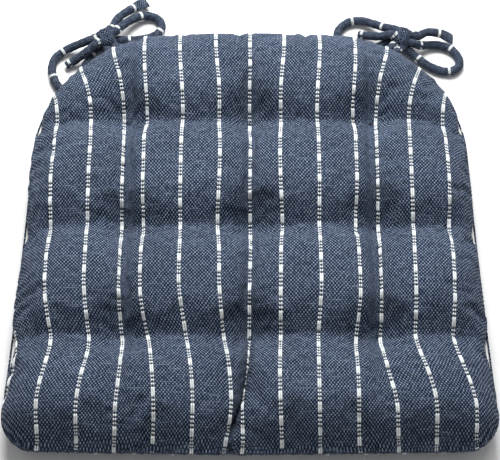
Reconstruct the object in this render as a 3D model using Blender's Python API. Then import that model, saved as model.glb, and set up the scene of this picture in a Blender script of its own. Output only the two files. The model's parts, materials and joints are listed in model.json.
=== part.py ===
"""Tufted chair seat pad with a tie bow at each rear corner. Metres, +Z up, +Y to the back.

The origin is under the middle of the pad, on the surface that it lies on. Two sewn covers hold a
foam core between two layers of batting, nine tufts pull the layers together, and each tie bow
hangs on two straps that leave the side seam.
"""

import math

import bmesh
import bpy
import numpy as np
from mathutils import Matrix, Vector
from mathutils.geometry import delaunay_2d_cdt

# Pad outline, seen from above
FRONT_WIDTH = 0.432
WAIST_WIDTH = 0.409
BACK_WIDTH = 0.393  # where the side and back edges would cross
DEPTH = 0.428
WAIST_Y = -0.030
FRONT_BOW = 0.004  # how far the middle of the front edge stands out
BACK_BOW = 0.012
FRONT_CORNER = 0.032  # length of edge that each corner rounds off
BACK_CORNER = 0.116
MIDDLE_ROUND = 0.070
WAIST_ROUND = 0.080

# Pad section
THICKNESS = 0.060
SEAM_HEIGHT = 0.023
EDGE_ROLL = 0.034  # how far in the rolled edge reaches
CROWN_REACH = 0.090  # where the crown is full
EDGE_SHARE = 0.86  # share of the crown that the roll reaches by itself
CREASE_DEPTH = 0.008  # valley along each row of tufts

# Tufts
TUFT_PITCH_X = 0.1125
TUFT_PITCH_Y = 0.110
TUFT_MIDDLE_Y = 0.003
TUFT_TOP = 0.031  # height of the upper cover at a tuft
TUFT_BOTTOM = 0.009  # height of the lower cover at a tuft
TUFT_FLAT = 0.004  # radius of the flat spot under the stitch
TUFT_REACH = 0.030  # how far from the flat spot the dimple spreads
TWINE_RADIUS = 0.0009
STITCH_RADIUS = 0.0024
STITCH_HEIGHT = 0.0014
KNOT_HEIGHT = 0.0030

# Layers
FABRIC = 0.0012
BATTING = 0.006
GAP = 0.0003  # between any two pieces
CORE_GAP = 0.0016  # the core is cut a little smaller than its wrap
SEAM_THREAD_RADIUS = 0.0004

# Ties
TIE_RADIUS = 0.0040
ROOT_RADIUS = 0.0034  # the strap is pressed where it enters the seam
TIE_ANGLE = 55.5  # degrees from +X, seen from the origin, to where a bow joins the seam
KNOT_HALF = (0.0085, 0.0095, 0.0085)  # along the seam, outwards and up
KNOT_BEVEL = 0.0030
TIE_STEP = 0.0080  # distance between the points of a tie's tube
ROOT_STEP = 0.0026

# Mesh
ARC_POINTS = 25  # along each of the outline's arcs, before it is sampled
OUTLINE_POINTS = 50
BEND_WEIGHT = 0.08  # metres of straight edge that one radian of bend counts for
RING_INSETS = (0.0, 0.004, 0.010, 0.018)
TUFT_SIDES = 6
CELLS = 3  # grid cells from one tuft to the next
EDGE_CLEAR = 0.034  # the grid stays this far inside the outline
CURVE_STEPS = 12  # samples between two points of a tie's route


def material(name, colour, roughness):
    made = bpy.data.materials.new(name)
    made.use_nodes = True
    shader = made.node_tree.nodes["Principled BSDF"]
    shader.inputs["Base Color"].default_value = (*colour, 1.0)
    shader.inputs["Roughness"].default_value = roughness
    shader.inputs["Metallic"].default_value = 0.0
    return made


def outline(count):
    """Points around the pad's edge, closer where it bends, counter-clockwise from the front middle."""
    half_depth = DEPTH / 2
    right = [
        (FRONT_WIDTH / 2, FRONT_BOW - half_depth, FRONT_CORNER),
        (WAIST_WIDTH / 2, WAIST_Y, WAIST_ROUND),
        (BACK_WIDTH / 2, half_depth - BACK_BOW, BACK_CORNER),
    ]
    left = [(-x, y, rounding) for x, y, rounding in reversed(right)]
    corners = [(0.0, -half_depth, MIDDLE_ROUND), *right, (0.0, half_depth, MIDDLE_ROUND), *left]
    line = []
    for i, (x, y, rounding) in enumerate(corners):
        corner = np.array((x, y))
        before = np.array(corners[i - 1][:2]) - corner
        after = np.array(corners[(i + 1) % len(corners)][:2]) - corner
        start = before / np.linalg.norm(before) * rounding
        end = after / np.linalg.norm(after) * rounding
        for t in np.linspace(0, math.pi / 2, ARC_POINTS):
            line.append(corner + start * (1 - math.sin(t)) + end * (1 - math.cos(t)))
    line = np.array(line)
    line = np.roll(line, -(ARC_POINTS // 2), axis=0)  # starts at the front edge's middle, x = 0
    line = np.vstack([line, line[:1]])
    run = np.diff(line, axis=0)
    turn = np.arctan2(run[:, 1], run[:, 0])
    bend = np.abs((np.diff(turn, append=turn[0]) + math.pi) % (2 * math.pi) - math.pi)
    bend = (bend + np.roll(bend, 1)) / 2
    measure = np.concatenate([[0], np.cumsum(np.linalg.norm(run, axis=1) + BEND_WEIGHT * bend)])
    at = np.linspace(0, measure[-1], count, endpoint=False)
    ring = np.stack([np.interp(at, measure, line[:, k]) for k in (0, 1)], axis=1)
    ring[:, 1] -= (ring[:, 1].min() + ring[:, 1].max()) / 2
    return ring


def outward(ring):
    """Unit normals of a counter-clockwise ring, in plan."""
    along = np.roll(ring, -1, axis=0) - np.roll(ring, 1, axis=0)
    normal = np.stack([along[:, 1], -along[:, 0]], axis=1)
    return normal / np.linalg.norm(normal, axis=1)[:, None]


def edge_distance(points, ring):
    """How far each plan point is from the ring."""
    start = ring
    run = np.roll(ring, -1, axis=0) - ring
    away = points[:, None] - start[None]
    share = np.clip((away * run).sum(2) / (run * run).sum(1), 0, 1)
    return np.linalg.norm(away - share[..., None] * run, axis=2).min(1)


def tuft_places():
    """Tuft names and plan positions, front row first."""
    rows = zip(("front", "middle", "back"), (-1, 0, 1))
    columns = tuple(zip(("left", "centre", "right"), (-1, 0, 1)))
    return [
        (f"{row}_{column}", (i * TUFT_PITCH_X, TUFT_MIDDLE_Y + j * TUFT_PITCH_Y))
        for row, j in rows
        for column, i in columns
    ]


def dimple(points):
    """1 at a tuft's flat spot, falling to 0 where its dimple ends."""
    nearest = np.min(
        [np.linalg.norm(points - np.array(place), axis=1) for _, place in tuft_places()], axis=0
    )
    share = np.clip((nearest - TUFT_FLAT) / TUFT_REACH, 0, 1)
    return (1 - share**2) ** 2


def roll(distance):
    """The rolled edge's quarter ellipse: 0 at the seam, 1 where the roll ends."""
    return np.sqrt(1 - (1 - np.clip(distance / EDGE_ROLL, 0, 1)) ** 2)


def top_heights(points, distance):
    crown = np.clip(distance / CROWN_REACH, 0, 1)
    share = EDGE_SHARE * roll(distance) + (1 - EDGE_SHARE) * np.sin(crown * math.pi / 2)
    rows = TUFT_MIDDLE_Y + TUFT_PITCH_Y * np.array((-1, 0, 1))
    off_row = np.abs(points[:, 1:2] - rows).min(1)
    crease = CREASE_DEPTH * np.clip(1 - off_row / (TUFT_PITCH_Y / CELLS), 0, 1) * roll(distance)
    height = SEAM_HEIGHT + (THICKNESS - SEAM_HEIGHT) * share - crease
    pull = dimple(points)
    return height * (1 - pull) + TUFT_TOP * pull


def bottom_heights(points, distance):
    height = SEAM_HEIGHT * (1 - roll(distance))
    pull = dimple(points)
    return height * (1 - pull) + TUFT_BOTTOM * pull


class Plan:
    """The pad's triangulated plan, with a hole at each tuft, which every layer shares."""

    def __init__(self):
        ring = outline(OUTLINE_POINTS)
        normals = outward(ring)
        points = [ring - inset * normals for inset in RING_INSETS]
        turns = np.arange(TUFT_SIDES) * 2 * math.pi / TUFT_SIDES
        circle = np.stack([np.cos(turns), np.sin(turns)], axis=1)
        places = np.array([place for _, place in tuft_places()])
        hole_radius = TWINE_RADIUS + GAP
        radii = (hole_radius, TUFT_FLAT, TUFT_FLAT + TUFT_REACH / 2)
        for place in places:
            points += [place + radius * circle for radius in radii]
        points.append(self.grid(ring, places))
        points = np.vstack(points)
        loops = [list(range(len(ring)))]
        first_hole = len(ring) * len(RING_INSETS)
        for i in range(len(places)):
            start = first_hole + i * len(radii) * TUFT_SIDES
            loops.append(list(range(start, start + TUFT_SIDES)))
        edges = [(a, b) for loop in loops for a, b in zip(loop, loop[1:] + loop[:1])]
        found = delaunay_2d_cdt([Vector(p) for p in points], edges, [], 0, 1e-7)
        self.points = np.array([tuple(p) for p in found[0]])
        source = [origin[0] for origin in found[3]]
        loop_of = {}
        for number, loop in enumerate(loops):
            loop_of.update(dict.fromkeys(loop, number))
        self.triangles = []
        for face in found[2]:
            owners = {loop_of.get(source[i]) for i in face}
            if len(owners) > 1 or owners == {None}:
                self.triangles.append(tuple(face))
        self.rim = np.array([loop_of.get(i) == 0 for i in source])
        self.distance = edge_distance(self.points, ring)
        self.distance[self.rim] = 0.0
        self.rim_normal = np.zeros((len(self.points), 3))
        for i, origin in enumerate(source):
            if loop_of.get(origin) == 0:
                self.rim_normal[i, :2] = normals[origin]

    def grid(self, ring, places):
        """Points between the tufts, on lines that run through them."""
        step_x = TUFT_PITCH_X / CELLS
        step_y = TUFT_PITCH_Y / CELLS
        across = range(-int(FRONT_WIDTH / step_x), int(FRONT_WIDTH / step_x) + 1)
        along = range(-int(DEPTH / step_y), int(DEPTH / step_y) + 1)
        spots = np.array([(i * step_x, TUFT_MIDDLE_Y + j * step_y) for j in along for i in across])
        half = np.array([FRONT_WIDTH / 2, DEPTH / 2])
        spots = spots[(np.abs(spots) < half).all(1)]
        inside = (np.abs(spots[:, 0]) < BACK_WIDTH / 2) & (edge_distance(spots, ring) > EDGE_CLEAR)
        corner = half - np.array([BACK_CORNER, BACK_CORNER]) / 2
        out_of_corner = (np.abs(spots[:, 0]) > corner[0]) & (spots[:, 1] > corner[1])
        nearest = np.linalg.norm(spots[:, None] - places[None], axis=2).min(1)
        return spots[inside & ~out_of_corner & (nearest > TUFT_FLAT + TUFT_REACH * 0.8)]

    def normals(self, heights, sign):
        """Vertex normals of the surface at these heights, upwards for sign 1."""
        surface = np.column_stack([self.points, heights])
        normal = np.zeros_like(surface)
        for a, b, c in self.triangles:
            face = np.cross(surface[b] - surface[a], surface[c] - surface[a])
            for i in (a, b, c):
                normal[i] += face
        normal *= sign / np.linalg.norm(normal, axis=1)[:, None]
        normal[self.rim] = self.rim_normal[self.rim]
        return normal


def closed_solid(name, plan, upper, lower, finish):
    """A solid between two surfaces over the plan, walled at the rim and at each hole."""
    count = len(plan.points)
    faces = [tuple(t) for t in plan.triangles]
    faces += [tuple(i + count for i in reversed(t)) for t in plan.triangles]
    sides = {(t[k], t[(k + 1) % 3]) for t in plan.triangles for k in range(3)}
    for a, b in sorted(sides):
        if (b, a) not in sides:
            faces.append((b, a, a + count, b + count))
    return add_mesh(name, np.vstack([upper, lower]), faces, finish)


def add_mesh(name, points, faces, finish):
    mesh = bpy.data.meshes.new(name)
    mesh.from_pydata([tuple(map(float, p)) for p in points], [], faces)
    mesh.validate()
    mesh.materials.append(finish)
    mesh.shade_smooth()
    mesh.set_sharp_from_angle(angle=math.radians(40))
    made = bpy.data.objects.new(name, mesh)
    bpy.context.collection.objects.link(made)
    return made


def layers(plan, finishes):
    """Both covers, both batting layers and the core, each a gap from the next."""
    slit = SEAM_THREAD_RADIUS + GAP  # half the opening that the seam thread lies in
    top = np.maximum(top_heights(plan.points, plan.distance), SEAM_HEIGHT + slit)
    bottom = np.minimum(bottom_heights(plan.points, plan.distance), SEAM_HEIGHT - slit)
    up = plan.normals(top, 1)
    down = plan.normals(bottom, -1)

    def under_top(depth):
        surface = np.column_stack([plan.points, top]) - up * depth
        surface[plan.rim, 2] = SEAM_HEIGHT + slit
        return surface

    def over_bottom(depth):
        surface = np.column_stack([plan.points, bottom]) - down * depth
        surface[plan.rim, 2] = SEAM_HEIGHT - slit
        return surface

    wrap = FABRIC + GAP
    fill = wrap + BATTING + CORE_GAP
    fabric, batting, foam = finishes
    closed_solid("cover_top", plan, under_top(0), under_top(FABRIC), fabric)
    closed_solid("cover_bottom", plan, over_bottom(FABRIC), over_bottom(0), fabric)
    closed_solid("batting_top", plan, under_top(wrap), under_top(wrap + BATTING), batting)
    closed_solid("batting_bottom", plan, over_bottom(wrap + BATTING), over_bottom(wrap), batting)
    closed_solid("foam_core", plan, under_top(fill), over_bottom(fill), foam)


def tube(name, points, radius, finish, sides=2, cyclic=False):
    curve = bpy.data.curves.new(name, "CURVE")
    curve.dimensions = "3D"
    curve.bevel_depth = radius
    curve.bevel_resolution = sides
    curve.use_fill_caps = not cyclic
    spline = curve.splines.new("POLY")
    spline.points.add(len(points) - 1)
    for spot, point in zip(spline.points, points):
        spot.co = (*map(float, point), 1.0)
    spline.use_cyclic_u = cyclic
    curve.materials.append(finish)
    made = bpy.data.objects.new(name, curve)
    bpy.context.collection.objects.link(made)
    return made


def seam_thread(finish):
    ring = outline(OUTLINE_POINTS)
    ring = ring - FABRIC / 2 * outward(ring)
    points = [(x, y, SEAM_HEIGHT) for x, y in ring]
    tube("seam_thread", points, SEAM_THREAD_RADIUS, finish, sides=1, cyclic=True)


def tufts(finish):
    """One turned stitch for each tuft: a bar on top, the twine, and a knot underneath."""
    shelf = TUFT_TOP + GAP
    seat = TUFT_BOTTOM - GAP
    profile = [
        (0.0, seat - KNOT_HEIGHT),
        (STITCH_RADIUS * 0.7, seat - KNOT_HEIGHT * 0.85),
        (STITCH_RADIUS, seat - KNOT_HEIGHT * 0.5),
        (STITCH_RADIUS * 0.7, seat),
        (TWINE_RADIUS, seat),
        (TWINE_RADIUS, shelf),
        (STITCH_RADIUS, shelf),
        (STITCH_RADIUS * 0.8, shelf + STITCH_HEIGHT * 0.7),
        (0.0, shelf + STITCH_HEIGHT),
    ]
    turns = [i * 2 * math.pi / TUFT_SIDES for i in range(TUFT_SIDES)]
    for name, (x, y) in tuft_places():
        points = [(x, y, profile[0][1])]
        for radius, z in profile[1:-1]:
            points += [(x + radius * math.cos(t), y + radius * math.sin(t), z) for t in turns]
        points.append((x, y, profile[-1][1]))
        last = len(points) - 1
        faces = []
        for k in range(TUFT_SIDES):
            n = (k + 1) % TUFT_SIDES
            faces.append((0, 1 + n, 1 + k))
            for row in range(len(profile) - 3):
                low = 1 + row * TUFT_SIDES
                high = low + TUFT_SIDES
                faces.append((low + k, low + n, high + n, high + k))
            top = 1 + (len(profile) - 3) * TUFT_SIDES
            faces.append((top + k, top + n, last))
        add_mesh(f"tuft_{name}", points, faces, finish)


def smooth_route(points, spacing):
    """Evenly spaced points on a smooth curve through a route, with straight ends square to their seats."""
    spots = np.array(points, float)
    fine = []
    for p0, p1, p2, p3 in zip(spots, spots[1:], spots[2:], spots[3:]):
        for t in np.linspace(0, 1, CURVE_STEPS, endpoint=False):
            fine.append(
                p1
                + (p2 - p0) * t / 2
                + (2 * p0 - 5 * p1 + 4 * p2 - p3) * t**2 / 2
                + (3 * p1 - p0 - 3 * p2 + p3) * t**3 / 2
            )
    fine = np.vstack([fine, spots[-2:-1]])
    along = np.concatenate([[0], np.cumsum(np.linalg.norm(np.diff(fine, axis=0), axis=1))])
    at = np.linspace(0, along[-1], max(3, round(along[-1] / spacing) + 1))
    middle = np.stack([np.interp(at, along, fine[:, k]) for k in range(3)], axis=1)
    return np.vstack([spots[:1], middle, spots[-1:]])


# Routes of the ties, in millimetres from the point where each bow leaves the seam: along the
# seam to the right as seen from the front, outwards, and up from the surface under the pad.
# A loop and a tail start and end on the knot's sides, a root on the side that faces the pad.
LEFT_KNOT = (9, 25, 12)
LEFT_ROUTES = {
    "root_inner": [
        (11.5, 0.3, 23), (11.5, 3.3, 23), (11.8, 7, 20.5),
        (12.4, 11, 15), (12.8, 13, 13), (12.8, 15.2, 13),
    ],
    "root_outer": [
        (3.5, 0.3, 23), (3.5, 3.3, 23), (3.8, 7, 20.5),
        (4.6, 11, 15), (5.2, 13, 13), (5.2, 15.2, 13),
    ],
    "loop_inner": [
        (17.8, 25.3, 17),
        (20.3, 25.3, 17),
        (31, 30, 14),
        (45, 34, 9),
        (58, 33, 5.5),
        (66, 25.5, 4.3),
        (65.5, 15.5, 4.3),
        (58, 10, 4.3),
        (47, 10.5, 4.3),
        (36, 14.5, 4.3),
        (27, 18.3, 5.8),
        (20.3, 20.5, 9),
        (17.8, 20.5, 9),
    ],
    "loop_outer": [
        (0.2, 31, 14.5),
        (-2.3, 31, 14.5),
        (-12, 34, 11),
        (-22, 37, 7.5),
        (-32, 38, 5),
        (-42, 35, 4.3),
        (-49.5, 26, 4.3),
        (-53, 14, 4.3),
        (-52.5, 4.5, 4.3),
        (-46, -0.5, 4.3),
        (-37, 3, 4.3),
        (-26, 10, 4.3),
        (-14, 17.5, 4.3),
        (-7, 22, 5.2),
        (-2.3, 23.5, 6),
        (0.2, 23.5, 6),
    ],
    "tail_inner": [
        (17.8, 33.2, 13), (20.3, 33.2, 13), (32, 41, 11.5),
        (46, 45, 9), (58, 47, 6), (67, 47.5, 4.3),
    ],
    "tail_outer": [
        (0.2, 22.5, 17), (-2.3, 22.5, 17), (-13, 21.7, 13.2),
        (-25, 22.5, 7.5), (-35, 23, 4.3),
    ],
}
RIGHT_KNOT = (-2, 30, 12)
RIGHT_ROUTES = {
    "root_inner": [
        (-5.8, 0.3, 23), (-5.8, 3.3, 23), (-5.8, 8, 21),
        (-5.8, 14, 15.5), (-5.8, 17.5, 13), (-5.8, 20.2, 13),
    ],
    "root_outer": [
        (1.8, 0.3, 23), (1.8, 3.3, 23), (1.8, 8, 21),
        (1.8, 14, 15.5), (1.8, 17.5, 13), (1.8, 20.2, 13),
    ],
    "loop_inner": [
        (-10.8, 34, 15),
        (-13.3, 34, 15),
        (-24, 32, 13),
        (-36, 32.5, 9),
        (-48, 32, 5.5),
        (-58, 26, 4.3),
        (-62.5, 15, 4.3),
        (-60.5, 5.5, 4.3),
        (-52, 0.5, 4.3),
        (-40, 1.5, 4.3),
        (-29, 7, 4.3),
        (-20, 15, 5),
        (-13.3, 24.5, 8),
        (-10.8, 24.5, 8),
    ],
    "loop_outer": [
        (6.8, 29.8, 13.5),
        (9.3, 29.8, 13.5),
        (14, 34, 8.8),
        (19.5, 40, 5.8),
        (28, 46, 4.4),
        (41, 48, 4.3),
        (51, 43.5, 4.3),
        (56, 36, 4.3),
        (54, 28, 4.3),
        (46.5, 22.5, 4.3),
        (36, 20.5, 4.3),
        (25, 21, 4.5),
        (15, 22.5, 5.6),
        (9.3, 24, 7),
        (6.8, 24, 7),
    ],
    "tail_inner": [
        (-10.8, 26, 17.5), (-13.3, 26, 17.5), (-22, 21.5, 12.5),
        (-32, 19.5, 8), (-43, 17, 4.3),
    ],
    "tail_outer": [
        (6.8, 38.2, 15), (9.3, 38.2, 15), (14.5, 46, 16.2),
        (24, 53, 13), (31, 56.5, 8.5), (36, 59, 4.3),
    ],
}


class Corner:
    """Where a bow leaves the seam, with the directions along the seam, outwards and up."""

    def __init__(self, angle):
        ring = outline(OUTLINE_POINTS)
        ray = np.array([math.cos(math.radians(angle)), math.sin(math.radians(angle))])
        for start, end in zip(ring, np.roll(ring, -1, axis=0)):
            share = np.linalg.solve(np.column_stack([ray, start - end]), start)
            if share[0] > 0 and 0 <= share[1] < 1:
                self.place = Vector((*(ray * share[0]), 0.0))
                run = Vector((*(end - start), 0.0)).normalized()
        self.out = Vector((run.y, -run.x, 0.0))
        self.along = -run

    def point(self, along, out, up):
        """World position of a route's point, given in millimetres."""
        offset = self.along * along + self.out * out
        return self.place + offset * 0.001 + Vector((0.0, 0.0, up * 0.001))

    def hinge(self):
        """The bend at the upper edge of the straps, where they leave the seam."""
        return self.place + self.out * GAP + Vector((0.0, 0.0, SEAM_HEIGHT + ROOT_RADIUS))


def knot(name, corner, centre, finish):
    mesh = bpy.data.meshes.new(name)
    shape = bmesh.new()
    bmesh.ops.create_cube(shape, size=2.0)
    bmesh.ops.scale(shape, vec=KNOT_HALF, verts=shape.verts)
    edges = list(shape.edges)
    bmesh.ops.bevel(shape, geom=edges, offset=KNOT_BEVEL, segments=2, profile=0.5, affect="EDGES")
    turn = Matrix((corner.along, corner.out, Vector((0.0, 0.0, 1.0)))).transposed().to_4x4()
    turn.translation = corner.point(*centre)
    bmesh.ops.transform(shape, matrix=turn, verts=shape.verts)
    bmesh.ops.recalc_face_normals(shape, faces=shape.faces)
    bmesh.ops.triangulate(shape, faces=shape.faces)
    shape.to_mesh(mesh)
    shape.free()
    mesh.materials.append(finish)
    mesh.shade_smooth()
    mesh.set_sharp_from_angle(angle=math.radians(40))
    made = bpy.data.objects.new(name, mesh)
    bpy.context.collection.objects.link(made)
    return made


def bow(side, corner, centre, routes, finish):
    """A knot, two straps from the seam, two loops and two tails, which turn on one hinge."""
    pieces = [knot(f"{side}_knot", corner, centre, finish)]
    for part, route in routes.items():
        root = part.startswith("root")
        spacing = ROOT_STEP if root else TIE_STEP
        points = smooth_route([corner.point(*spot) for spot in route], spacing)
        radius = ROOT_RADIUS if root else TIE_RADIUS
        pieces.append(tube(f"{side}_{part}", points, radius, finish))
    hinge = bpy.data.objects.new(f"{side}_hinge", None)
    hinge.empty_display_size = 0.03
    hinge.location = corner.hinge()
    bpy.context.collection.objects.link(hinge)
    for piece in pieces:
        piece.parent = hinge
        piece.matrix_parent_inverse = Matrix.Translation(-hinge.location)


def main():
    for old in list(bpy.data.objects):
        bpy.data.objects.remove(old)
    fabric = material("cover_fabric", (0.035, 0.055, 0.105), 0.92)
    batting = material("batting_fibre", (0.86, 0.86, 0.84), 0.95)
    foam = material("core_foam", (0.90, 0.86, 0.70), 0.90)
    twine = material("tuft_twine", (0.02, 0.03, 0.06), 0.80)
    thread = material("sewing_thread", (0.03, 0.04, 0.08), 0.70)
    tie_fabric = material("tie_fabric", (0.03, 0.045, 0.09), 0.92)
    layers(Plan(), (fabric, batting, foam))
    tufts(twine)
    seam_thread(thread)
    bow("left", Corner(180 - TIE_ANGLE), LEFT_KNOT, LEFT_ROUTES, tie_fabric)
    bow("right", Corner(TIE_ANGLE), RIGHT_KNOT, RIGHT_ROUTES, tie_fabric)


main()
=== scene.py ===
import json
import math

import bpy
import numpy as np
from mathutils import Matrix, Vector


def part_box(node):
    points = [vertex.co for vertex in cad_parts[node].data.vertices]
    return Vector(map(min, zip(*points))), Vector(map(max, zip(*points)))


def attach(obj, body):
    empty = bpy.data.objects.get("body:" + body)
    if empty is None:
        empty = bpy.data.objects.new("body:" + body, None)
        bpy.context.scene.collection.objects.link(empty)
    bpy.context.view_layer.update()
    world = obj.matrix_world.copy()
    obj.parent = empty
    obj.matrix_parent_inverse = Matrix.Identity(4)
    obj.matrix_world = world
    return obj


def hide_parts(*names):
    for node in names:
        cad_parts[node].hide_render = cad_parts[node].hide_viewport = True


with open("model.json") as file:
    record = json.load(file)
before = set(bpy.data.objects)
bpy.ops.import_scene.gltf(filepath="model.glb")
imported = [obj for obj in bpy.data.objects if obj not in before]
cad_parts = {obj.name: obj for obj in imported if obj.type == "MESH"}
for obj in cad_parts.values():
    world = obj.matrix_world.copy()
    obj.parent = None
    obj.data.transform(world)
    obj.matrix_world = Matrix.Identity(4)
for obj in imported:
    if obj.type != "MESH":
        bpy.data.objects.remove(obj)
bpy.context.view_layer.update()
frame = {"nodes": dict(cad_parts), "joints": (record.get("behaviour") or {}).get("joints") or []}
up = np.array((0.0, 0.0, 1.0))
print("frame loaded,", len(frame["nodes"]), "nodes")


# Camera, floor and light

view = {"elevation": 61.0, "distance": 1.887, "lens": 151.0, "aim": (0.0, 0.0016, 0.03)}
studio = {
    "floor": (0.95, 0.95, 0.95),
    "world": 0.30,
    "lamps": [  # place, size, watts
        ((-0.05, 0.80, 0.95), 0.7, 22.5),
        ((0.30, 0.9, 1.9), 1.2, 14.0),
    ],
}


def newObject(name, data):
    made = bpy.data.objects.new(name, data)
    bpy.context.scene.collection.objects.link(made)
    return made


def makeCamera():
    lift = math.radians(view["elevation"])
    data = bpy.data.cameras.new("viewCamera")
    data.lens = view["lens"]
    camera = newObject("viewCamera", data)
    back = Vector((0.0, -math.cos(lift), math.sin(lift)))
    camera.location = Vector(view["aim"]) + back * view["distance"]
    camera.rotation_euler = (math.pi / 2 - lift, 0.0, 0.0)
    bpy.context.scene.camera = camera


def makeStudio():
    world = bpy.data.worlds.new("softRoom")
    world.use_nodes = True
    sky = world.node_tree.nodes["Background"]
    sky.inputs["Color"].default_value = (1.0, 1.0, 1.0, 1.0)
    sky.inputs["Strength"].default_value = studio["world"]
    bpy.context.scene.world = world
    bpy.context.scene.view_settings.view_transform = "Standard"
    bpy.ops.mesh.primitive_plane_add(size=8.0, location=(0.0, 0.0, -0.0002))
    floor = bpy.context.object
    floor.name = "floor"
    pale = bpy.data.materials.new("paleFloor")
    pale.use_nodes = True
    shader = pale.node_tree.nodes["Principled BSDF"]
    shader.inputs["Base Color"].default_value = (*studio["floor"], 1.0)
    shader.inputs["Roughness"].default_value = 0.8
    floor.data.materials.append(pale)
    for number, (place, size, watts) in enumerate(studio["lamps"]):
        data = bpy.data.lights.new(f"softLamp{number}", "AREA")
        data.size = size
        data.energy = watts
        lamp = newObject(data.name, data)
        lamp.location = place
        lamp.rotation_euler = (-Vector(place)).to_track_quat("-Z", "Y").to_euler()


makeCamera()
makeStudio()
print("camera, floor and lamps")


# Shader helpers

def newMaterial(name, roughness):
    made = bpy.data.materials.new(name)
    made.use_nodes = True
    shader = made.node_tree.nodes["Principled BSDF"]
    shader.inputs["Roughness"].default_value = roughness
    return made, made.node_tree, shader


def addNode(tree, kind, inputs, **settings):
    # a node with its settings, and with each of these inputs linked or set
    node = tree.nodes.new(kind)
    for name, value in settings.items():
        setattr(node, name, value)
    for key, value in inputs.items():
        if isinstance(value, bpy.types.NodeSocket):
            tree.links.new(value, node.inputs[key])
        else:
            node.inputs[key].default_value = value
    return node.outputs


def calc(tree, operation, first, second=0.0):
    return addNode(tree, "ShaderNodeMath", {0: first, 1: second}, operation=operation)[0]


def times(tree, first, second):
    return calc(tree, "MULTIPLY", first, second)


def ramp(tree, value, low, high, first=0.0, last=1.0):
    inputs = {"From Min": low, "From Max": high, "To Min": first, "To Max": last, "Value": value}
    return addNode(tree, "ShaderNodeMapRange", inputs, interpolation_type="SMOOTHSTEP")["Result"]


def mix(tree, share, first, second, kind="MIX"):
    inputs = {0: share, 6: first, 7: second}
    return addNode(tree, "ShaderNodeMix", inputs, data_type="RGBA", blend_type=kind)[2]


def noise(tree, vector, scale, stretch=(1.0, 1.0, 1.0), detail=2.0):
    place = addNode(tree, "ShaderNodeMapping", {"Scale": stretch, "Vector": vector})[0]
    return addNode(tree, "ShaderNodeTexNoise", {"Scale": scale, "Detail": detail, "Vector": place})["Fac"]


def bump(tree, shader, height, distance, strength=1.0):
    inputs = {"Strength": strength, "Distance": distance, "Height": height}
    tree.links.new(addNode(tree, "ShaderNodeBump", inputs)["Normal"], shader.inputs["Normal"])


def rgb(red, green, blue):
    return (red, green, blue, 1.0)


# Materials

cloth = {
    "endPitch": 0.00145,  # warp ends, across the cloth
    "pickPitch": 0.00175,  # weft picks, along the cloth
    "end": (rgb(0.072, 0.100, 0.158), rgb(0.205, 0.250, 0.330)),
    "pick": (rgb(0.001, 0.004, 0.017), rgb(0.017, 0.030, 0.064)),
    "slub": rgb(0.150, 0.190, 0.262),
    "slubShare": 0.8,
    "yarnWander": 0.0024,
    "roundness": 0.55,
    "shadow": (0.24, 1.20),  # between the yarns and on top of them
    "fuzz": (0.84, 1.14),
    "cloud": (0.90, 1.12),
    "sheen": 0.04,
    "specular": 0.06,
    "relief": 0.00035,
}


def clothMaterial(name, shade=1.0, fine=1.0):
    made, tree, shader = newMaterial(name, 0.88)
    place = addNode(tree, "ShaderNodeUVMap", {}, uv_map="cloth")["UV"]
    parts = addNode(tree, "ShaderNodeSeparateXYZ", {0: place})
    wander = calc(tree, "SUBTRACT", noise(tree, place, 70.0), 0.5)
    wander = times(tree, wander, cloth["yarnWander"])
    across = calc(tree, "ADD", parts[0], wander)
    along = calc(tree, "SUBTRACT", parts[1], wander)
    turnX = calc(tree, "SINE", times(tree, across, math.pi / (cloth["endPitch"] * fine)))
    turnY = calc(tree, "SINE", times(tree, along, math.pi / (cloth["pickPitch"] * fine)))
    weave = times(tree, turnX, turnY)
    dome = calc(tree, "POWER", calc(tree, "ABSOLUTE", weave), cloth["roundness"])
    over = ramp(tree, weave, -0.08, 0.08)
    endTone = noise(tree, place, 1.0, (420.0, 190.0, 1.0))
    pickTone = noise(tree, place, 1.0, (48.0, 560.0, 1.0))
    endColour = mix(tree, ramp(tree, endTone, 0.3, 0.7), *cloth["end"])
    pickColour = mix(tree, ramp(tree, pickTone, 0.3, 0.7), *cloth["pick"])
    slubs = ramp(tree, pickTone, 0.60, 0.72, 0.0, cloth["slubShare"])
    pickColour = mix(tree, slubs, pickColour, cloth["slub"])
    colour = mix(tree, over, pickColour, endColour)
    fibre = noise(tree, place, 2600.0)
    cloud = noise(tree, place, 16.0)
    fuzz = ramp(tree, fibre, 0.2, 0.8, *cloth["fuzz"])
    tone = times(tree, ramp(tree, dome, 0.0, 1.0, *cloth["shadow"]), fuzz)
    patches = ramp(tree, cloud, 0.2, 0.8, *(level * shade for level in cloth["cloud"]))
    tone = times(tree, tone, patches)
    grey = addNode(tree, "ShaderNodeCombineColor", {0: tone, 1: tone, 2: tone})[0]
    colour = mix(tree, 1.0, colour, grey, "MULTIPLY")
    tree.links.new(colour, shader.inputs["Base Color"])
    shader.inputs["Sheen Weight"].default_value = cloth["sheen"]
    shader.inputs["Sheen Roughness"].default_value = 0.45
    shader.inputs["Sheen Tint"].default_value = rgb(0.72, 0.78, 0.95)
    shader.inputs["Specular IOR Level"].default_value = cloth["specular"]
    height = calc(tree, "ADD", dome, times(tree, fibre, 0.25))
    bump(tree, shader, height, cloth["relief"], 0.8)
    return made


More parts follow.
